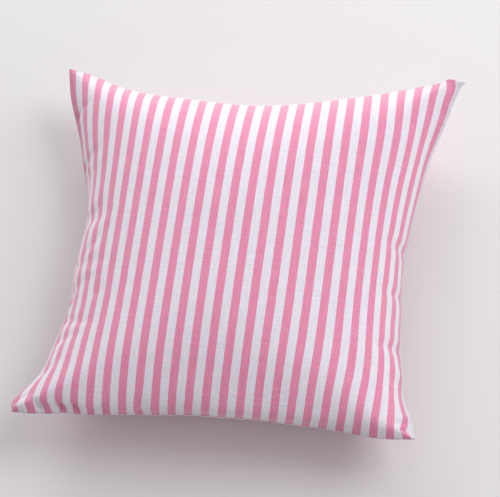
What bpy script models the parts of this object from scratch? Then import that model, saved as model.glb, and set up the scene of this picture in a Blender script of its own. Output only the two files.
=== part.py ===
"""A square scatter cushion in a plain sewn cover, plump and lying on its back.

The cover is two square panels, a front and a back, sewn together all round with a plain seam.
Filled, the panels crown, the sides draw in between the corners, and the back goes flat where
the cushion rests. Metres, +Z up, with the origin under the middle of the box, on the surface.
"""

from collections import namedtuple

import bmesh
import bpy
import numpy as np
from mathutils import Vector

MM = 0.001

# The cut of the cover from seam to seam, and the cells along each side of a panel.
CLOTH_SIDE = 450.0 * MM
HALF_CLOTH = CLOTH_SIDE / 2
CELLS = 44

# The height of the seams at the corners, above the surface, and the front's crown above that.
SEAM_LEVEL = 63.5 * MM
CROWN = 57.0 * MM

# Where the four corners of the filled cover lie, with their height from the seam level, and
# which corner of the cut panel each one is.
Corner = namedtuple("Corner", "across along height sign_x sign_y")
CORNERS = {
    "top_left": Corner(-219.5, 211.0, -0.5, -1, 1),
    "top_right": Corner(219.5, 216.5, 0.5, 1, 1),
    "bottom_right": Corner(210.0, -216.5, -0.5, 1, -1),
    "bottom_left": Corner(-211.5, -212.0, 0.5, -1, -1),
}

# How far each seam leaves the straight line between its corners, where it leaves it most.
# inward is the way to the middle, draw is that way, rise is up, place runs from 0 to 1.
Side = namedtuple("Side", "start end inward_x inward_y draw rise place")
SIDES = {
    "left": Side("top_left", "bottom_left", 1, 0, 38.0, -33.0, 0.54),
    "right": Side("top_right", "bottom_right", -1, 0, 42.5, -35.0, 0.53),
    "top": Side("top_left", "top_right", 0, -1, 28.5, -23.0, 0.47),
    "bottom": Side("bottom_left", "bottom_right", 0, 1, 4.5, 9.0, 0.30),
}
# A seam's pull dies away into the panel as this power of the way out from the middle. The
# level from which the back sags dies away more slowly.
PULL_POWER = 4.7
BACK_LEVEL_POWER = 1.3

# How square each panel's shoulders are, as the power of their fall towards each seam, and how
# sharply two of them meet along a diagonal. A share of fullness below SEAM_FULLNESS is the seam.
Shoulders = namedtuple("Shoulders", "left right top bottom")
FRONT_SHOULDERS = Shoulders(1.8, 1.55, 2.3, 4.2)
BACK_SHOULDERS = Shoulders(2.1, 2.0, 2.2, 2.6)
DIAGONAL_POWER = 6.0
SEAM_FULLNESS = 0.00001

# The back lies flat from this share of its fullness on, and curves up to the seam outside it.
FLAT_FROM = 0.84
BACK_CURVE = 1.75

# The main creases, as soft troughs across the cloth, or ridges where the depth is below zero.
# Each runs between two places on the cut panel, in millimetres from its middle.
Crease = namedtuple("Crease", "panel x1 y1 x2 y2 width depth")
CREASES = (
    Crease("front", -216, 6, -170, 24, 9, 4.5),
    Crease("front", -210, -16, -172, -2, 11, -2.5),
    Crease("front", -216, 102, -182, 92, 9, 3.5),
    Crease("front", -214, 142, -186, 134, 10, 2.5),
    Crease("front", -214, -62, -146, -70, 9, 3.0),
    Crease("front", -212, -92, -160, -98, 8, 2.5),
    Crease("front", -214, -136, -142, -126, 10, 3.5),
    Crease("front", -214, -184, -178, -206, 9, 4.5),
    Crease("front", -198, -216, -170, -190, 9, 3.5),
    Crease("front", -164, -218, -148, -186, 8, 3.0),
    Crease("front", -136, -220, -122, -184, 9, 5.0),
    Crease("front", -56, -220, -52, -188, 9, 2.5),
    Crease("front", 214, 14, 170, 4, 10, 3.0),
    Crease("front", 216, -42, 180, -52, 9, 3.0),
    Crease("front", 216, -112, 178, -124, 9, 3.5),
    Crease("front", 216, -190, 186, -214, 9, 5.5),
    Crease("front", 190, 216, 214, 186, 10, 3.0),
    Crease("front", -190, 212, -212, 186, 10, 3.0),
    Crease("back", -214, 22, -150, 14, 12, 3.5),
    Crease("back", -212, -70, -158, -58, 12, 3.0),
    Crease("back", 214, -24, 156, -34, 12, 3.5),
    Crease("back", 212, 84, 164, 70, 12, 3.0),
    Crease("back", 30, 214, 22, 160, 12, 3.0),
    Crease("back", -74, 214, -66, 168, 12, 2.5),
    Crease("back", 60, -214, 52, -166, 12, 3.0),
    Crease("back", 206, 206, 168, 168, 12, 3.5),
    Crease("back", -206, -206, -166, -168, 12, 3.5),
)
# The seam itself isn't creased: each crease grows to its full depth over this distance from it,
# and has lost this share of its depth by its inner end.
SEAM_HOLD = 16.0 * MM
CREASE_FADE = 0.5

# Seam points of the two panels closer than this are one point.
SEAM_MERGE = 0.00001
COVER_COLOUR = (0.84, 0.62, 0.69, 1.0)
COVER_ROUGHNESS = 0.85


def clear_scene():
    for old in list(bpy.data.objects):
        bpy.data.objects.remove(old, do_unlink=True)


def corner_pull(corner):
    """How far filling the cover has moved a corner from its place on the flat cut."""
    flat = Vector((corner.sign_x, corner.sign_y, 0)) * HALF_CLOTH
    return Vector((corner.across, corner.along, corner.height)) * MM - flat


def side_pull(side, share):
    """How far the seam has moved from the flat cut, at this share of the way along it."""
    turn = np.log(0.5) / np.log(side.place)
    swell = float(np.sin(np.pi * share**turn))
    inward = Vector((side.inward_x, side.inward_y, 0)) * side.draw
    start = corner_pull(CORNERS[side.start])
    end = corner_pull(CORNERS[side.end])
    return start.lerp(end, share) + swell * (inward + Vector((0, 0, side.rise))) * MM


def seam_pull(s, t, power=PULL_POWER):
    """The move that the seams give a point of either panel, s and t running from -1 to 1."""
    weight = {
        "left": max(-s, 0) ** power,
        "right": max(s, 0) ** power,
        "top": max(t, 0) ** power,
        "bottom": max(-t, 0) ** power,
    }
    share = {"left": (1 - t) / 2, "right": (1 - t) / 2, "top": (1 + s) / 2, "bottom": (1 + s) / 2}
    move = Vector((0, 0, 0))
    for name, side in SIDES.items():
        move += weight[name] * side_pull(side, share[name])
    for name, corner in CORNERS.items():
        along, across = name.split("_")
        move -= weight[along] * weight[across] * corner_pull(corner)
    return move


def fullness(s, t, shoulders):
    """How full the panel is here: 0 on a seam and 1 in the middle."""
    across = 1 - abs(s) ** (shoulders.right if s > 0 else shoulders.left)
    along = 1 - abs(t) ** (shoulders.top if t > 0 else shoulders.bottom)
    if min(across, along) < SEAM_FULLNESS:
        return 0.0
    return (across**-DIAGONAL_POWER + along**-DIAGONAL_POWER - 1) ** (-1 / DIAGONAL_POWER)


def front_point(s, t):
    pulled = Vector((s * HALF_CLOTH, t * HALF_CLOTH, SEAM_LEVEL)) + seam_pull(s, t)
    pulled.z += CROWN * fullness(s, t, FRONT_SHOULDERS)
    return pulled


def back_point(s, t):
    pulled = Vector((s * HALF_CLOTH, t * HALF_CLOTH, 0)) + seam_pull(s, t)
    above_rest = max(1 - fullness(s, t, BACK_SHOULDERS) / FLAT_FROM, 0) ** BACK_CURVE
    pulled.z = (SEAM_LEVEL + seam_pull(s, t, BACK_LEVEL_POWER).z) * above_rest
    return pulled


def crease_depth(panel, x, y):
    """How deep the creases press the cloth at this place of the cut panel."""
    from_seam = HALF_CLOTH - max(abs(x), abs(y))
    held = min(from_seam / SEAM_HOLD, 1)
    depth = 0.0
    for crease in CREASES:
        if crease.panel != panel:
            continue
        start = Vector((crease.x1, crease.y1)) * MM
        run = Vector((crease.x2, crease.y2)) * MM - start
        share = min(max((Vector((x, y)) - start).dot(run) / run.length_squared, 0), 1)
        away = (Vector((x, y)) - start - share * run).length / (crease.width * MM)
        depth += crease.depth * MM * float(np.exp(-(away**2))) * (1 - CREASE_FADE * share)
    return depth * held * held * (3 - 2 * held)


def split_corner_cells(panel):
    """Cuts each corner cell from its tip inwards, so that the two panels share no triangle."""
    tips = [point for point in panel.verts if len(point.link_faces) == 1]
    for tip in tips:
        inner = max(tip.link_faces[0].verts, key=lambda point: (point.co - tip.co).length)
        bmesh.ops.connect_verts(panel, verts=[tip, inner])


def make_panel(name, point_at):
    """One panel of the cover: an even grid of its cut, moved to its filled shape and creased."""
    panel = bmesh.new()
    bmesh.ops.create_grid(panel, x_segments=CELLS, y_segments=CELLS, size=HALF_CLOTH)
    cut = {point: point.co.copy() for point in panel.verts}
    split_corner_cells(panel)
    if name == "back":
        bmesh.ops.reverse_faces(panel, faces=panel.faces)
    for point, flat in cut.items():
        point.co = point_at(flat.x / HALF_CLOTH, flat.y / HALF_CLOTH)
    panel.normal_update()
    outward = {point: point.normal.copy() for point in panel.verts}
    for point, flat in cut.items():
        if point.co.z > 0:
            point.co -= outward[point] * crease_depth(name, flat.x, flat.y)
    return panel


def sew(panels):
    """The panels as one closed solid, joined along their seam."""
    joined = bmesh.new()
    for panel in panels:
        sheet = bpy.data.meshes.new("panel")
        panel.to_mesh(sheet)
        joined.from_mesh(sheet)
        panel.free()
        bpy.data.meshes.remove(sheet)
    bmesh.ops.remove_doubles(joined, verts=joined.verts, dist=SEAM_MERGE)
    return joined


def cover_material():
    material = bpy.data.materials.new("striped_cotton")
    material.use_nodes = True
    shader = material.node_tree.nodes["Principled BSDF"]
    shader.inputs["Base Color"].default_value = COVER_COLOUR
    shader.inputs["Roughness"].default_value = COVER_ROUGHNESS
    shader.inputs["Metallic"].default_value = 0.0
    return material


def make_cushion():
    solid = sew([make_panel("front", front_point), make_panel("back", back_point)])
    mesh = bpy.data.meshes.new("cushion")
    solid.to_mesh(mesh)
    solid.free()
    mesh.shade_smooth()
    mesh.materials.append(cover_material())
    cushion = bpy.data.objects.new("cushion", mesh)
    bpy.context.scene.collection.objects.link(cushion)
    return cushion


def main():
    clear_scene()
    make_cushion()


main()
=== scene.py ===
# %% [markdown]
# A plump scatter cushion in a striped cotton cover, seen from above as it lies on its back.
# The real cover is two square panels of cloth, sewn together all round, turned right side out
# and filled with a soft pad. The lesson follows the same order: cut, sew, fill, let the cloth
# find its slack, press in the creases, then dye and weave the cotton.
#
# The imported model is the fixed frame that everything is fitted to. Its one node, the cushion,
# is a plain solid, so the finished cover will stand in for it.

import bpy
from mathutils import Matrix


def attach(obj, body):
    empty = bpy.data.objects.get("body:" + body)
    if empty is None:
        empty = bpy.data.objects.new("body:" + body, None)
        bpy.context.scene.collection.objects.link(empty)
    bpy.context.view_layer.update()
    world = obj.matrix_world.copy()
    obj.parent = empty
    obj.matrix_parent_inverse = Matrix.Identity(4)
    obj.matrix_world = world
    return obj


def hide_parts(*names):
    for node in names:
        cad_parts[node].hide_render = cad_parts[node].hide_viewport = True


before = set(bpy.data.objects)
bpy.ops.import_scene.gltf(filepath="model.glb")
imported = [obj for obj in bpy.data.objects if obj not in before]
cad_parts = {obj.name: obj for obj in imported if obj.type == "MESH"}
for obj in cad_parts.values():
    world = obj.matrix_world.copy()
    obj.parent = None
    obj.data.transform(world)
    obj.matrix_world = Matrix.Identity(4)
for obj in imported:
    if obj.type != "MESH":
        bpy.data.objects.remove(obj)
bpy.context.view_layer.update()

# %% [markdown]
# Lengths are in metres in Blender, and a sewer thinks in millimetres, so MM turns one into the
# other. The camera is set first, because every later look at the cushion is judged through it.
# It stands three metres off with a long lens, which keeps the stripes nearly parallel. Its
# place is found by turning it round the upright axis, tipping it down, and rolling it.

# %% Set the camera
import math
from collections import namedtuple

import bmesh
import bpy
import numpy as np
from mathutils import Matrix, Vector

MM = 0.001
CAMERA_AZIMUTH = math.radians(19.74)
CAMERA_ELEVATION = math.radians(59.25)
CAMERA_ROLL = math.radians(-14.49)
CAMERA_DISTANCE = 3.0
CAMERA_LENS_MM = 203.5
CAMERA_AIM = Vector((11.6, -3.8, 60.0)) * MM

turned = Matrix.Rotation(CAMERA_AZIMUTH, 4, "Z")
tipped = Matrix.Rotation(math.radians(90) - CAMERA_ELEVATION, 4, "X")
rolled = Matrix.Rotation(CAMERA_ROLL, 4, "Z")
camera_data = bpy.data.cameras.new("camera")
camera_data.lens = CAMERA_LENS_MM
camera = bpy.data.objects.new("camera", camera_data)
bpy.context.scene.collection.objects.link(camera)
turn = turned @ tipped @ rolled
camera.matrix_world = Matrix.Translation(CAMERA_AIM + turn.col[2].xyz * CAMERA_DISTANCE) @ turn
bpy.context.scene.camera = camera
print("camera at", [round(number, 3) for number in camera.matrix_world.translation])

# %% [markdown]
# Everything stands on a pale floor. It belongs to the studio and not to the cushion. Two
# helpers come with it, which the cover will use too.

# %% Lay the floor
FLOOR_SIDE = 6.0
FLOOR_COLOUR = (0.82, 0.82, 0.82, 1.0)
FLOOR_ROUGHNESS = 0.9


def plain_material(name, colour, roughness):
    material = bpy.data.materials.new(name)
    material.use_nodes = True
    shader = material.node_tree.nodes["Principled BSDF"]
    shader.inputs["Base Color"].default_value = colour
    shader.inputs["Roughness"].default_value = roughness
    return material


def link_mesh(name, sheet):
    """Turns a bmesh into a mesh object in the scene, and frees the bmesh."""
    mesh = bpy.data.meshes.new(name)
    sheet.to_mesh(mesh)
    sheet.free()
    made = bpy.data.objects.new(name, mesh)
    bpy.context.scene.collection.objects.link(made)
    return made


sheet = bmesh.new()
bmesh.ops.create_grid(sheet, x_segments=1, y_segments=1, size=FLOOR_SIDE / 2)
floor = link_mesh("floor", sheet)
floor.data.materials.append(plain_material("pale_floor", FLOOR_COLOUR, FLOOR_ROUGHNESS))
print("floor side, m:", FLOOR_SIDE)

# %% [markdown]
# There are two broad soft lights, a low one behind the top edge and a higher one on the right,
# and a soft glow from all round. Cotton is matt, so its shape shows only as the slow change
# from the bright top edge to the darker front edge. That is why the front edge is left to the
# glow alone.

# %% Hang the lights
Light = namedtuple("Light", "azimuth elevation distance size power")
LIGHTS = {
    "window": Light(200, 15, 2.4, 1.6, 41.0),
    "side": Light(110, 45, 2.4, 1.6, 27.0),
}
GLOW_COLOUR = (1.0, 0.95, 0.96, 1.0)
GLOW_STRENGTH = 0.48
for name, light in LIGHTS.items():
    lamp_data = bpy.data.lights.new(name, "AREA")
    lamp_data.size = light.size
    lamp_data.energy = light.power
    lamp = bpy.data.objects.new(name, lamp_data)
    bpy.context.scene.collection.objects.link(lamp)
    about = Matrix.Rotation(math.radians(light.azimuth), 4, "Z")
    tilt = Matrix.Rotation(math.radians(90 - light.elevation), 4, "X")
    facing = about @ tilt
    lamp.matrix_world = Matrix.Translation(facing.col[2].xyz * light.distance) @ facing

world = bpy.data.worlds.new("glow")
world.use_nodes = True
glow = world.node_tree.nodes["Background"]
glow.inputs["Color"].default_value = GLOW_COLOUR
glow.inputs["Strength"].default_value = GLOW_STRENGTH
bpy.context.scene.world = world
bpy.context.scene.view_settings.view_transform = "Standard"
print("lights:", ", ".join(LIGHTS))

# %% [markdown]
# The cover is cut from flat cloth: two squares of 450 mm from seam to seam. Each is an even
# grid of cells, and then the grid lines are moved closer together towards the edges, because
# seams and creases need finer cells than the smooth middle. Every point keeps its place on the
# flat cloth in an attribute, since the filling, the slack and the creases all need it.
#
# The faces get two maps. The first is the cut in metres, for the stripes and the weave, and on
# the back it is a few millimetres off, because nobody matches the stripes of two panels. The
# second lays the front above the back, and serves for baking.

# %% Cut two panels
CLOTH_SIDE = 450 * MM
HALF_CLOTH = CLOTH_SIDE / 2
CELLS = 96
EDGE_GRADING = 0.3
BACK_SHIFT = 4 * MM
BAKE_MARGIN = 0.01


def graded(place):
    """Moves a grid line from its even place, -1 to 1, nearer to the closest edge."""
    return place * (1 + EDGE_GRADING - EDGE_GRADING * place**2)


def cut_panel(cover, is_front, layers):
    """Adds one square panel to the cover, with its flat places kept on points and corners."""
    across, along, front, cut_map, bake_map = layers
    half = Vector((HALF_CLOTH, HALF_CLOTH))
    made = bmesh.ops.create_grid(cover, x_segments=CELLS, y_segments=CELLS, size=HALF_CLOTH)
    for point in made["verts"]:
        point.co.x = HALF_CLOTH * graded(point.co.x / HALF_CLOTH)
        point.co.y = HALF_CLOTH * graded(point.co.y / HALF_CLOTH)
        point[across] = point.co.x
        point[along] = point.co.y
        point[front] = 1.0 if is_front else 0.0
    faces = {face for point in made["verts"] for face in point.link_faces}
    for face in faces:
        for corner in face.loops:
            place = corner.vert.co.xy + half
            share = place / CLOTH_SIDE * (1 - 2 * BAKE_MARGIN) + Vector((BAKE_MARGIN, BAKE_MARGIN))
            if not is_front:
                place.x = CLOTH_SIDE - place.x + BACK_SHIFT
                share.x = 1 - share.x
            corner[cut_map].uv = place
            corner[bake_map].uv = (share.x, (share.y + is_front) / 2)
    if not is_front:
        bmesh.ops.reverse_faces(cover, faces=list(faces))


cover = bmesh.new()
cover_layers = (
    cover.verts.layers.float.new("across"),
    cover.verts.layers.float.new("along"),
    cover.verts.layers.float.new("front"),
    cover.loops.layers.uv.new("cut"),
    cover.loops.layers.uv.new("OFBake"),
)
cut_panel(cover, True, cover_layers)
cut_panel(cover, False, cover_layers)
print("cells cut:", len(cover.faces))

# %% [markdown]
# The two panels still lie on each other, so sewing them is a merge of the points of their rims
# that share a place. No open edge may be left.

# %% Sew them together
SEW_DISTANCE = 0.01 * MM

rim = [point for point in cover.verts if point.is_boundary]
bmesh.ops.remove_doubles(cover, verts=rim, dist=SEW_DISTANCE)
print("open edges left:", sum(edge.is_boundary for edge in cover.edges))
cushion = link_mesh("cushion_cover", cover)
cushion.data.shade_smooth()

# %% [markdown]
# Filling moves the seams first. Each corner goes to its own place, and between two corners the
# seam is drawn in towards the middle, down or up, and a little along itself, in one smooth
# swell. The pull of a seam dies away towards the middle of the panel as a steep power, so the
# middle keeps its width, as on a real cover, where the stripes stay evenly spaced until the
# panel turns down.

# %% Say where the seams lie
Corner = namedtuple("Corner", "across along height sign_x sign_y")
CORNERS = {
    "top_left": Corner(-219.5, 211.0, -0.5, -1, 1),
    "top_right": Corner(219.5, 216.5, 0.5, 1, 1),
    "bottom_right": Corner(210.0, -216.5, -0.5, 1, -1),
    "bottom_left": Corner(-211.5, -212.0, 0.5, -1, -1),
}
Side = namedtuple("Side", "start end inward_x inward_y draw rise slide place")
SIDES = {
    "left": Side("top_left", "bottom_left", 1, 0, 38.2, -33.0, -3.4, 0.54),
    "right": Side("top_right", "bottom_right", -1, 0, 42.4, -35.3, 1.8, 0.53),
    "top": Side("top_left", "top_right", 0, -1, 28.6, -23.3, -11.3, 0.465),
    "bottom": Side("bottom_left", "bottom_right", 0, 1, 4.4, 8.7, -7.3, 0.293),
}
SEAM_LEVEL = 63.5 * MM
SWELL_POWER = 1.08
PULL_POWER = 4.7
BACK_LEVEL_POWER = 1.3


def corner_pull(corner):
    """How far filling has moved a corner from its place on the flat cut."""
    flat_place = np.array([corner.sign_x, corner.sign_y, 0]) * HALF_CLOTH
    return np.array([corner.across, corner.along, corner.height]) * MM - flat_place


def side_pull(side, share):
    """How far the seam has moved from the flat cut, at these shares of the way along it."""
    turn_power = math.log(0.5) / math.log(side.place)
    swell = np.sin(math.pi * np.clip(share, 0, 1) ** turn_power).clip(0) ** SWELL_POWER
    inward = np.array([side.inward_x, side.inward_y, 0]) * side.draw
    lengthwise = np.array([abs(side.inward_y), abs(side.inward_x), 0]) * side.slide
    most = (inward + lengthwise + np.array([0, 0, side.rise])) * MM
    start = corner_pull(CORNERS[side.start])
    end = corner_pull(CORNERS[side.end])
    return start + share[:, None] * (end - start) + swell[:, None] * most


def seam_pull(s, t, power=PULL_POWER):
    """The move that the seams give to points of a panel, s and t running from -1 to 1."""
    weight = {
        "left": (-s).clip(0) ** power,
        "right": s.clip(0) ** power,
        "top": t.clip(0) ** power,
        "bottom": (-t).clip(0) ** power,
    }
    share = {"left": (1 - t) / 2, "right": (1 - t) / 2, "top": (1 + s) / 2, "bottom": (1 + s) / 2}
    move = np.zeros((len(s), 3))
    for name, side in SIDES.items():
        move += weight[name][:, None] * side_pull(side, share[name])
    for name, corner in CORNERS.items():
        along, across = name.split("_")
        move -= (weight[along] * weight[across])[:, None] * corner_pull(corner)
    return move


middle = np.zeros(1)
for name, way in {"left": (-1, 0), "right": (1, 0), "top": (0, 1), "bottom": (0, -1)}.items():
    drawn = seam_pull(middle + way[0], middle + way[1])[0]
    print(name, "seam is moved by, mm:", np.round(drawn * 1000, 1))

# %% [markdown]
# Then the panels crown. Fullness is 0 on a seam and 1 in the middle, and each side has its own
# shoulder: a low power falls away slowly, a high one stays full and then drops steeply, as at
# the edge nearest to the viewer. The back bellies down from the seam level until it meets the
# surface, and lies flat there.

# %% Work out the filled form
Shoulders = namedtuple("Shoulders", "left right top bottom")
FRONT_SHOULDERS = Shoulders(1.79, 1.555, 2.27, 4.24)
BACK_SHOULDERS = Shoulders(2.1, 2.0, 2.2, 2.6)
DIAGONAL_POWER = 6.0
LEAST_FULLNESS = 0.00001
CROWN = 57.1 * MM
FLAT_FROM = 0.84
BACK_CURVE = 1.75


def fullness(s, t, shoulders):
    """How full the panel is: 0 on a seam and 1 in the middle."""
    across = 1 - abs(s) ** np.where(s > 0, shoulders.right, shoulders.left)
    along = 1 - abs(t) ** np.where(t > 0, shoulders.top, shoulders.bottom)
    across = across.clip(LEAST_FULLNESS)
    along = along.clip(LEAST_FULLNESS)
    both = across**-DIAGONAL_POWER + along**-DIAGONAL_POWER - 1
    return both ** (-1 / DIAGONAL_POWER)


def filled_places(flat, is_front):
    """Where filling the cover puts each point, from its flat place and its panel."""
    s, t = flat.T / HALF_CLOTH
    places = np.column_stack([flat, np.full(len(flat), SEAM_LEVEL)]) + seam_pull(s, t)
    above_rest = (1 - fullness(s, t, BACK_SHOULDERS) / FLAT_FROM).clip(0) ** BACK_CURVE
    back_level = (SEAM_LEVEL + seam_pull(s, t, BACK_LEVEL_POWER)[:, 2]) * above_rest
    front_level = places[:, 2] + CROWN * fullness(s, t, FRONT_SHOULDERS)
    on_seam = abs(flat).max(1) > HALF_CLOTH - SEW_DISTANCE
    level = np.where(is_front, front_level, back_level)
    places[:, 2] = np.where(on_seam, places[:, 2], level)
    return places


# %% [markdown]
# The form is worked out for all points at once, so the flat places are read from the mesh as
# one array, and the filled ones are written back.

# %% Fill the cover
def read_points(mesh, name):
    numbers = np.empty(len(mesh.vertices), np.float32)
    mesh.attributes[name].data.foreach_get("value", numbers)
    return numbers.astype(float)


def read_places(mesh):
    numbers = np.empty(len(mesh.vertices) * 3, np.float32)
    mesh.vertices.foreach_get("co", numbers)
    return numbers.reshape(-1, 3).astype(float)


def set_places(mesh, places):
    mesh.vertices.foreach_set("co", places.astype(np.float32).ravel())
    mesh.update()


cover_mesh = cushion.data
flat = np.column_stack([read_points(cover_mesh, "across"), read_points(cover_mesh, "along")])
is_front = read_points(cover_mesh, "front") > 0.5
filled = filled_places(flat, is_front)
set_places(cover_mesh, filled)
print("filled cover, mm:", np.round(1000 * np.ptp(filled, axis=0), 1))

# %% [markdown]
# No pad fills its cover evenly, so the filling is pushed about. A push moves the cloth
# round one place of the cut: fully there, and less and less further away. Places are in
# millimetres from the middle of the cut. A push on both panels takes the seam with it. One on
# a single panel dies away where that panel turns into the seam.

# %% Say how a push works
Push = namedtuple("Push", "x y reach_x reach_y across along up", defaults=[0.0])
SEAM_TURN = 6 * MM


def from_seam(flat):
    """How far each point of the cut is from the nearest seam."""
    return HALF_CLOTH - abs(flat).max(1)


def pushed_places(places, flat, pushes, on_panel=None):
    """The places after these pushes, on both panels or on the points of one panel only."""
    moved = places.copy()
    freedom = 1
    if on_panel is not None:
        freedom = on_panel * (1 - np.exp(-((from_seam(flat) / SEAM_TURN) ** 2)))
    for push in pushes:
        away = (flat / MM - [push.x, push.y]) / [push.reach_x, push.reach_y]
        share = np.exp(-((away**2).sum(1))) * freedom
        moved += share[:, None] * np.array([push.across, push.along, push.up]) * MM
    return moved


# %% [markdown]
# The seams come first, from the top left corner down the left side, along the front edge, up
# the right side, and last the top edge. The left side is pinched in above its middle, and its
# lower corner is stuffed out. The front edge bags out at both ends and is rolled under in
# between. The right side swings in and out, and its top corner ends in a small tip.

# %% Push the seams about
SEAM_PUSHES = (
    Push(-225, 225, 26, 26, -1.0, 1.5),
    Push(-225, 190, 18, 18, -1.0, 0.0),
    Push(-225, 132, 24, 36, 3.8, 0.0),
    Push(-225, 60, 34, 42, 6.8, 0.0),
    Push(-225, -34, 24, 26, -3.0, 0.0),
    Push(-225, -78, 26, 24, 2.5, 0.0),
    Push(-225, -165, 24, 24, 3.5, 0.0),
    Push(-225, -206, 20, 18, -6.0, 0.0),
    Push(-225, -213, 9, 8, -2.5, 0.0),
    Push(-205, -225, 22, 22, 0.0, -5.5),
    Push(-178, -225, 34, 9, 5.5, 0.0),
    Push(-180, -225, 13, 13, 0.0, -2.5),
    Push(-136, -225, 46, 46, 1.0, -7.5),
    Push(-70, -225, 34, 34, 1.0, -3.0),
    Push(48, -225, 40, 40, 1.0, 1.5),
    Push(30, -225, 120, 9, -2.0, 6.0, -10.5),
    Push(186, -225, 40, 40, 0.0, -5.0),
    Push(225, -172, 20, 20, -4.5, 0.0),
    Push(225, -58, 40, 40, 3.0, 0.0),
    Push(225, 128, 42, 42, -3.5, 0.0),
    Push(225, 225, 20, 20, 3.5, 2.0),
    Push(216, 225, 11, 11, -8.0, 1.5),
    Push(220, 225, 6, 8, -5.0, 2.5),
    Push(225, 225, 8, 8, 7.7, -7.3),
    Push(225, 197, 10, 16, -1.5, 0.0),
    Push(-195, 225, 28, 28, 0.0, 4.0),
)
pushed = pushed_places(filled, flat, SEAM_PUSHES)
moved_by = np.linalg.norm(pushed - filled, axis=1)
print("furthest push of a seam, mm:", round(1000 * moved_by.max(), 1))

# %% [markdown]
# Then come the panels. The first two pushes lay the front over its rolled edge, and the next
# ones make the crown uneven. The small ones kink single stripes beside the seams, where the
# cloth is caught. The back is tucked in a little under the front edge.

# %% Push the panels about
FRONT_PUSHES = (
    Push(-130, -212, 70, 14, 0.0, -4.0),
    Push(40, -209, 100, 16, 0.0, -9.0, -1.0),
    Push(12, 190, 60, 60, 0.0, -2.0, -4.2),
    Push(176, 130, 42, 48, 3.2, 0.0),
    Push(165, -150, 45, 45, 2.0, 0.0),
    Push(-165, -95, 40, 40, 2.0, 0.0, -1.0),
    Push(-185, -36, 26, 34, -1.5, 0.0),
    Push(-186, 146, 24, 34, -1.8, 0.0),
    Push(-200, 150, 11, 50, -1.6, 0.0),
    Push(-178, 18, 26, 11, 3.8, 0.0),
    Push(-186, -202, 28, 20, -2.2, 0.0),
    Push(-212, -214, 14, 12, -1.2, 0.0),
    Push(214, 200, 16, 20, -1.2, 0.0),
    Push(-72, -212, 9, 10, -3.0, 0.0),
    Push(200, 8, 24, 8, -2.0, 0.0),
    Push(198, -50, 26, 8, -1.6, 0.0),
    Push(200, -119, 20, 7, -2.2, 0.0),
    Push(210, -146, 14, 8, 1.5, 0.0),
    Push(218, -200, 8, 6, 3.0, 0.0),
    Push(219, -215, 8, 5, -8.0, 0.0),
    Push(222, -200, 7, 22, -4.0, 0.0),
)
BACK_PUSHES = (Push(-110, -212, 90, 16, 0.0, 4.0),)
pushed = pushed_places(pushed, flat, FRONT_PUSHES, is_front)
pushed = pushed_places(pushed, flat, BACK_PUSHES, ~is_front)
pushed[:, 2] = pushed[:, 2].clip(0)
set_places(cover_mesh, pushed)
moved_by = np.linalg.norm(pushed - filled, axis=1)
print("furthest push in all, mm:", round(1000 * moved_by.max(), 1))

# %% [markdown]
# A drawn-in seam is shorter than the cloth beside it, so real cotton puckers there. A cloth
# simulation works that out: the cloth starts from the filled shape but remembers, in a shape
# key, how large it was cut. The seam is pinned and the rest is held softly, so only short
# ripples form, and the pad presses from inside.

# %% Simulate the cotton
SOFT_HOLD = 0.1
SETTLING_FRAMES = 15
COTTON = {
    "quality": 6,
    "mass": 0.15,
    "tension_stiffness": 40,
    "compression_stiffness": 40,
    "shear_stiffness": 15,
    "bending_stiffness": 0.3,
    "tension_damping": 20,
    "compression_damping": 20,
    "shear_damping": 20,
    "bending_damping": 0.5,
    "air_damping": 3,
    "use_pressure": True,
    "uniform_pressure_force": 4.0,
    "pin_stiffness": 1.0,
}


def settle(piece, flat):
    """The places of a filled cover's points after the cloth has found its slack."""
    on_seam = from_seam(flat) < SEW_DISTANCE
    hold = piece.vertex_groups.new(name="hold")
    for is_held, strength in ((on_seam, 1.0), (~on_seam, SOFT_HOLD)):
        hold.add([int(point) for point in np.flatnonzero(is_held)], strength, "REPLACE")
    piece.shape_key_add(name="filled")
    cut = piece.shape_key_add(name="flat cut")
    flat_places = np.column_stack([flat, np.zeros(len(flat))])
    cut.data.foreach_set("co", flat_places.astype(np.float32).ravel())
    cloth = piece.modifiers.new("cotton", "CLOTH")
    for name, number in COTTON.items():
        setattr(cloth.settings, name, number)
    cloth.settings.effector_weights.gravity = 0
    cloth.settings.rest_shape_key = cut
    cloth.settings.vertex_group_mass = hold.name
    cloth.collision_settings.use_collision = False
    cloth.collision_settings.use_self_collision = False
    cloth.point_cache.frame_end = SETTLING_FRAMES
    for frame_number in range(1, SETTLING_FRAMES + 1):
        bpy.context.scene.frame_set(frame_number)
    evaluated = piece.evaluated_get(bpy.context.evaluated_depsgraph_get())
    settled = read_places(evaluated.data)
    piece.modifiers.remove(cloth)
    piece.shape_key_clear()
    piece.vertex_groups.remove(hold)
    bpy.context.scene.frame_set(1)
    return settled


# %% [markdown]
# The simulation may only add slack, not a new shape. So how far it moves a point is capped, the
# flat rest stays flat, and the result is written back into the mesh.

# %% Let the cotton settle
MOST_SETTLING = 6 * MM
LEAST_SETTLING = 0.01 * MM

settled = pushed
move = settle(cushion, flat) - pushed
length = np.linalg.norm(move, axis=1)
move *= np.minimum(1, MOST_SETTLING / length.clip(LEAST_SETTLING))[:, None]
settled = pushed + move
settled[:, 2] = settled[:, 2].clip(0)
print("settling moves the cloth by, mm:", round(1000 * length.mean(), 2), "on average")
set_places(cover_mesh, settled)
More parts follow.
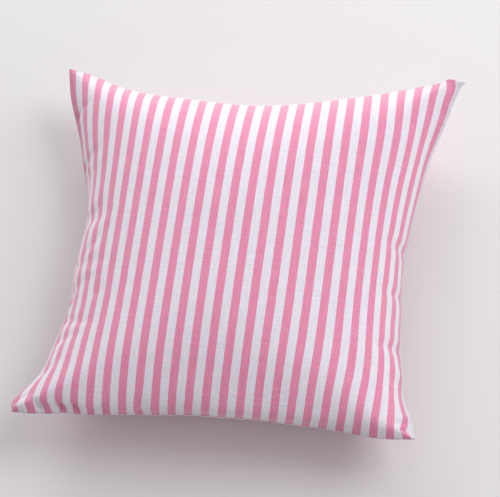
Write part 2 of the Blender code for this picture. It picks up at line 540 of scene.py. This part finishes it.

# %% [markdown]
# The main creases are listed one by one too. A crease starts near a seam and dies away into the
# panel, as a trough with a low bank on both sides. A depth below zero makes it a ridge, and a
# bow bends it sideways half way. The stitches hold the cloth, so beside the seam nearly all of
# the depth is taken back.

# %% Say how a crease runs
Crease = namedtuple("Crease", "x1 y1 x2 y2 width depth bow", defaults=[0])
CREASE_BANK = 0.55
CREASE_SPREAD = 1.3
CREASE_FADE = 0.7
CREASE_START = 5 * MM
STITCH_HOLD = 0.9


def crease_depths(flat, creases):
    """How deep the creases press the cloth at each point."""
    depth = np.zeros(len(flat))
    for crease in creases:
        start = np.array([crease.x1, crease.y1]) * MM
        run = np.array([crease.x2, crease.y2]) * MM - start
        length = np.linalg.norm(run)
        aside = np.array([-run[1], run[0]]) / length
        share = ((flat - start) @ run / length**2).clip(0, 1)
        bowed = 4 * crease.bow * MM * share * (1 - share)
        centre = start + share[:, None] * run + bowed[:, None] * aside
        away = np.linalg.norm(flat - centre, axis=1) / (crease.width * MM)
        shape = (1 - CREASE_BANK * away**2) * np.exp(-(away**2) / CREASE_SPREAD)
        depth += crease.depth * MM * shape * (1 - share) ** CREASE_FADE
    return depth * (1 - STITCH_HOLD * np.exp(-((from_seam(flat) / CREASE_START) ** 2)))


# %% [markdown]
# The front's creases are listed by side: the left one, where the pinched cloth has most of
# them, the front edge, whose left end gathers in small pockets, and the right one.

# %% Place the front's creases
LEFT_CREASES = (
    Crease(-224, 160, -190, 178, 4.5, 2.6),
    Crease(-223, 98, -165, 103, 4.5, 2.8, 3),
    Crease(-214, 85, -167, 75, 5, 1.3),
    Crease(-206, 30, -150, 38, 5, 2.4, -6),
    Crease(-202, 2, -156, 8, 4.5, -1.4),
    Crease(-178, -24, -136, 2, 6, 1.8),
    Crease(-205, -32, -129, -44, 5, 2.0),
    Crease(-208, -67, -146, -60, 5, 2.2),
    Crease(-150, -83, -129, -75, 5, 1.3),
    Crease(-218, -104, -186, -64, 4, 4.2),
    Crease(-200, -104, -133, -122, 4.5, 2.5),
    Crease(-196, -132, -145, -130, 4.5, 2.2),
    Crease(-206, -176, -170, -156, 6, 1.8),
    Crease(-224, -214, -198, -200, 4, 2.5),
    Crease(-216, -223, -204, -206, 4, -1.8),
)
FRONT_EDGE_CREASES = (
    Crease(-148, -216, -210, -219, 3.5, 4.5),
    Crease(-134, -217, -96, -218, 3.5, 2.5),
    Crease(-189, -222, -195, -209, 3.5, 8.0),
    Crease(-165, -222, -170, -209, 3.5, 9.0),
    Crease(-145, -222, -149, -209, 3.8, 9.5),
    Crease(-112, -222, -116, -209, 4, 4.5),
    Crease(-67, -222, -77, -200, 4, 4.5),
    Crease(-59, -222, -64, -204, 3.5, -2.2),
    Crease(-2, -222, -7, -204, 5, 2.5),
    Crease(34, -222, 30, -206, 5, 2.0),
)
RIGHT_CREASES = (
    Crease(224, 12, 178, 4, 5, 2.8),
    Crease(224, -46, 176, -52, 5, 2.2),
    Crease(224, -112, 174, -118, 5, 2.8),
    Crease(224, -204, 200, -208, 3.5, 4.0),
    Crease(220, -224, 208, -214, 3.5, -2.5),
    Crease(214, 224, 222, 196, 4.5, 2.5),
)
front_creases = crease_depths(flat, LEFT_CREASES + FRONT_EDGE_CREASES + RIGHT_CREASES)
print("deepest crease of the front, mm:", round(1000 * front_creases[is_front].max(), 1))

# %% [markdown]
# The back is out of sight, so its creases are fewer, wider and plain. Then all of them are
# pressed in together, inwards from the surface, but not where the cover lies flat.

# %% Press the creases in
BACK_CREASES = (
    Crease(-222, 22, -150, 14, 9, 3.5),
    Crease(-222, -70, -158, -58, 9, 3.0),
    Crease(222, -24, 156, -34, 9, 3.5),
    Crease(222, 84, 164, 70, 9, 3.0),
    Crease(30, 222, 22, 160, 9, 3.0),
    Crease(-74, 222, -66, 168, 9, 2.5),
    Crease(60, -222, 52, -166, 9, 3.0),
    Crease(214, 214, 168, 168, 9, 3.5),
    Crease(-214, -214, -166, -168, 9, 3.5),
)


def outward_normals(mesh):
    numbers = np.empty(len(mesh.vertices) * 3, np.float32)
    mesh.vertices.foreach_get("normal", numbers)
    return numbers.reshape(-1, 3).astype(float)


def press(mesh, depth):
    """Moves each point of the mesh inwards by its depth, but not where the cover lies flat."""
    places = read_places(mesh)
    lifted = places[:, 2] > SEW_DISTANCE
    places -= (depth * lifted)[:, None] * outward_normals(mesh)
    places[:, 2] = places[:, 2].clip(0)
    set_places(mesh, places)


creases = np.where(is_front, front_creases, crease_depths(flat, BACK_CREASES))
press(cover_mesh, creases)
print("deepest crease, mm:", round(1000 * creases.max(), 1))

# %% [markdown]
# A plain seam turned right side out leaves a low ditch beside it, since the seam allowance
# inside holds the cloth in, and the thread draws it into fine puckers. The ditch is pressed
# in along the whole seam here, and the puckers a few millimetres apart are left to the finish.
# Last, each cell is divided once more, so that no corner of the grid shows.

# %% Press in the seam
DITCH_DEPTH = 0.4 * MM
DITCH_PLACE = 4.0 * MM
DITCH_WIDTH = 2.5 * MM

ditch = DITCH_DEPTH * np.exp(-(((from_seam(flat) - DITCH_PLACE) / DITCH_WIDTH) ** 2))
press(cover_mesh, ditch)
finer = cushion.modifiers.new("finer cells", "SUBSURF")
finer.levels = 1
finer.render_levels = 1
print("cells in the cover:", len(cover_mesh.polygons))

# %% [markdown]
# The stripes are woven in, so the finish is built up like the cloth: which yarns are dyed, how
# they cross, and how the thread of the seam puckers them. Each of the three is a node group.
# The helpers below keep the cells short: one adds a node and feeds its inputs, and one does
# a sum. A source that is a socket is linked, and any other source is set on the input.

# %% Make helpers for the nodes
def feed(tree, socket, source):
    if isinstance(source, bpy.types.NodeSocket):
        tree.links.new(source, socket)
    else:
        socket.default_value = source


def add_node(tree, kind, sources, **options):
    made = tree.nodes.new("ShaderNode" + kind)
    for name, option in options.items():
        setattr(made, name, option)
    for name, source in sources.items():
        feed(tree, made.inputs[name], source)
    return made


def calculate(tree, operation, *sources):
    return add_node(tree, "Math", dict(enumerate(sources)), operation=operation).outputs[0]


def new_group(name, inputs, outputs):
    """An empty node group with these sockets, and its two ends."""
    group = bpy.data.node_groups.new(name, "ShaderNodeTree")
    for direction, sockets in (("INPUT", inputs), ("OUTPUT", outputs)):
        for socket_name, kind in sockets.items():
            group.interface.new_socket(
                name=socket_name, in_out=direction, socket_type="NodeSocket" + kind
            )
    start = group.nodes.new("NodeGroupInput")
    end = group.nodes.new("NodeGroupOutput")
    return group, start.outputs, end.inputs


def stretched_noise(tree, across, along, cell_across, cell_along):
    """Smooth noise from -1 to 1, whose cells have this width and length."""
    place = add_node(
        tree,
        "CombineXYZ",
        {
            "X": calculate(tree, "DIVIDE", across, cell_across),
            "Y": calculate(tree, "DIVIDE", along, cell_along),
        },
    )
    noise = add_node(tree, "TexNoise", {"Vector": place.outputs[0], "Scale": 1.0, "Detail": 1.0})
    return calculate(tree, "MULTIPLY_ADD", noise.outputs[0], 2.0, -1.0)


# %% [markdown]
# A stripe is a band of dyed warp yarns, nine millimetres wide and as far apart. Its edge is
# not a ruled line: it wanders by a fraction of a yarn, and it blurs over about half of one.

# %% Dye the stripes
STRIPE_PITCH = 18.12 * MM
STRIPE_WIDTH = 9.0 * MM
FIRST_STRIPE = 5.8 * MM
STRIPE_WANDER = 0.25 * MM
WANDER_LENGTH = 9 * MM
STRIPE_SOFTNESS = 0.3 * MM

stripes, given, out = new_group("dyed stripes", {"Place": "Vector"}, {"Pink": "Float"})
split = add_node(stripes, "SeparateXYZ", {0: given["Place"]})
wander = stretched_noise(stripes, split.outputs[0], split.outputs[1], STRIPE_PITCH, WANDER_LENGTH)
across = calculate(stripes, "MULTIPLY_ADD", wander, STRIPE_WANDER, split.outputs[0])
from_first = calculate(stripes, "SUBTRACT", across, FIRST_STRIPE)
folded = calculate(stripes, "WRAP", from_first, STRIPE_PITCH / 2, -STRIPE_PITCH / 2)
from_middle = calculate(stripes, "ABSOLUTE", folded)
band = add_node(
    stripes,
    "MapRange",
    {
        "Value": from_middle,
        "From Min": STRIPE_WIDTH / 2 - STRIPE_SOFTNESS,
        "From Max": STRIPE_WIDTH / 2 + STRIPE_SOFTNESS,
        "To Min": 1.0,
        "To Max": 0.0,
    },
    interpolation_type="SMOOTHSTEP",
)
stripes.links.new(band.outputs["Result"], out["Pink"])
print("stripes across the cut:", round(CLOTH_SIDE / STRIPE_PITCH))

# %% [markdown]
# In a plain weave the warp runs over one weft yarn and under the next, which makes a fine
# check. No yarn is perfectly even either: it has thick and thin lengths, which show as faint
# streaks along the warp and along the weft, and here and there a fleck. The group gives the
# weave's height, roughly from 0 to 1, and a tint round 0 that makes the colour a little
# lighter or darker.

# %% Weave the cotton
YARN_SPACING = 1.0 * MM
SLUB_LENGTH = 24 * MM
FLECK = 2.0 * MM
SLUB_HEIGHT = 0.3
CHECK_TINT = 0.35

weave, given, out = new_group(
    "plain weave", {"Place": "Vector"}, {"Height": "Float", "Tint": "Float"}
)
split = add_node(weave, "SeparateXYZ", {0: given["Place"]})
across = split.outputs[0]
along = split.outputs[1]
waves = []
for direction in (across, along):
    angle = calculate(weave, "MULTIPLY", direction, math.pi / YARN_SPACING)
    waves.append(calculate(weave, "SINE", angle))
crossing = calculate(weave, "MULTIPLY", *waves)
warp_slub = stretched_noise(weave, across, along, YARN_SPACING, SLUB_LENGTH)
weft_slub = stretched_noise(weave, across, along, SLUB_LENGTH, YARN_SPACING)
fleck = stretched_noise(weave, across, along, FLECK, FLECK)
height = calculate(weave, "MULTIPLY_ADD", crossing, 0.5, 0.5)
weave.links.new(calculate(weave, "MULTIPLY_ADD", warp_slub, SLUB_HEIGHT, height), out["Height"])
slubs = calculate(weave, "ADD", warp_slub, weft_slub)
checked = calculate(weave, "MULTIPLY_ADD", crossing, CHECK_TINT, slubs)
weave.links.new(calculate(weave, "ADD", checked, fleck), out["Tint"])
print("nodes in the weave:", len(weave.nodes))

# %% [markdown]
# Beside the seam the thread draws the cloth into short puckers that stand square to the seam.
# They are noise stretched one way beside the side seams, and the other way beside the top and
# bottom seams, and each fades over the first centimetre or two from its seam. The same fading
# gives a painted shade, which is 1 on the seam and makes the colour a little darker beside
# every seam. The places are read from the attributes, because both panels share them.

# %% Pucker the seam
PUCKER_WIDTH = 7 * MM
PUCKER_LENGTH = 40 * MM
PUCKER_FADE = 9 * MM

puckers, given, out = new_group(
    "seam puckers", {"Across": "Float", "Along": "Float"}, {"Height": "Float", "Seam Shade": "Float"}
)
ripples = []
seam_shades = []
for aside, lengthwise in (("Across", "Along"), ("Along", "Across")):
    ripple = stretched_noise(
        puckers, given[aside], given[lengthwise], PUCKER_LENGTH, PUCKER_WIDTH
    )
    from_middle = calculate(puckers, "ABSOLUTE", given[aside])
    from_edge = calculate(puckers, "SUBTRACT", HALF_CLOTH, from_middle)
    faded = calculate(puckers, "DIVIDE", from_edge, -PUCKER_FADE)
    near_seam = calculate(puckers, "EXPONENT", faded)
    ripples.append(calculate(puckers, "MULTIPLY", ripple, near_seam))
    seam_shades.append(near_seam)
puckers.links.new(calculate(puckers, "ADD", *ripples), out["Height"])
# this output is painted shade, 1 on the seam, which darkens the colour there
puckers.links.new(calculate(puckers, "MAXIMUM", *seam_shades), out["Seam Shade"])
print("nodes in the puckers:", len(puckers.nodes))

# %% [markdown]
# The cotton puts the three together. The white is a cool off-white. The pink yarns lie over a
# white weft that shows a little between them, most where the weave's tint is light, so the
# pink is never quite solid. The tint then makes the colour lighter or darker, and a painted
# shade darkens it beside the seam.

# %% Mix the colour
WHITE_COTTON = (0.825, 0.805, 0.89, 1.0)
PINK_COTTON = (0.83, 0.26, 0.43, 1.0)
COTTON_ROUGHNESS = 0.92
WEFT_SHOWING = 0.05
WEAVE_TINT = 0.12
# painted shade: how much the colour is darkened on the seams
SEAM_SHADE_TINT = -0.22

cotton = plain_material("striped_cotton", WHITE_COTTON, COTTON_ROUGHNESS)
tree = cotton.node_tree
shader = tree.nodes["Principled BSDF"]
cut_place = add_node(tree, "UVMap", {}, uv_map="cut").outputs["UV"]
cut_across = add_node(tree, "Attribute", {}, attribute_name="across").outputs["Fac"]
cut_along = add_node(tree, "Attribute", {}, attribute_name="along").outputs["Fac"]
dyed = add_node(tree, "Group", {}, node_tree=stripes)
woven = add_node(tree, "Group", {}, node_tree=weave)
puckered = add_node(tree, "Group", {}, node_tree=puckers)
for group_node in (dyed, woven):
    feed(tree, group_node.inputs["Place"], cut_place)
feed(tree, puckered.inputs["Across"], cut_across)
feed(tree, puckered.inputs["Along"], cut_along)

covering = calculate(
    tree, "MULTIPLY_ADD", woven.outputs["Tint"], -WEFT_SHOWING, 1 - WEFT_SHOWING
)
pink_share = calculate(tree, "MULTIPLY", dyed.outputs["Pink"], covering)
colour = add_node(tree, "Mix", {}, data_type="RGBA")
feed(tree, colour.inputs["Factor"], pink_share)
feed(tree, colour.inputs["A"], WHITE_COTTON)
feed(tree, colour.inputs["B"], PINK_COTTON)
tinted = calculate(tree, "MULTIPLY_ADD", woven.outputs["Tint"], WEAVE_TINT, 1.0)
# painted shade: the colour is darkened beside the seams
brightness = calculate(tree, "MULTIPLY_ADD", puckered.outputs["Seam Shade"], SEAM_SHADE_TINT, tinted)
shaded = add_node(tree, "VectorMath", {0: colour.outputs["Result"]}, operation="SCALE")
feed(tree, shaded.inputs["Scale"], brightness)
feed(tree, shader.inputs["Base Color"], shaded.outputs[0])

# %% [markdown]
# Bleached cotton is matt, a little smoother on top of the yarns than between them, with a sheen
# of loose fibre at a glancing angle. The heights of the weave and the puckers are both in
# millimetres, so their sum drives one bump node.

# %% Finish the surface
SMOOTHER_YARN_TOPS = -0.08
WEAVE_HEIGHT = 0.1
PUCKER_HEIGHT = 0.35

roughness = calculate(
    tree, "MULTIPLY_ADD", woven.outputs["Height"], SMOOTHER_YARN_TOPS, COTTON_ROUGHNESS
)
feed(tree, shader.inputs["Roughness"], roughness)
woven_height = calculate(tree, "MULTIPLY", woven.outputs["Height"], WEAVE_HEIGHT)
height = calculate(
    tree, "MULTIPLY_ADD", puckered.outputs["Height"], PUCKER_HEIGHT, woven_height
)
bump = add_node(tree, "Bump", {"Height": height, "Distance": MM, "Strength": 1.0})
feed(tree, shader.inputs["Normal"], bump.outputs["Normal"])
shader.inputs["Sheen Weight"].default_value = 0.55
shader.inputs["Sheen Roughness"].default_value = 0.5
shader.inputs["Specular IOR Level"].default_value = 0.2
cover_mesh.materials.append(cotton)
print("nodes in the cotton:", len(tree.nodes))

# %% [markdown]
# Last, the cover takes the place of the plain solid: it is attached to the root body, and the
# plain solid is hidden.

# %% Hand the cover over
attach(cushion, "root")
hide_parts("cushion")
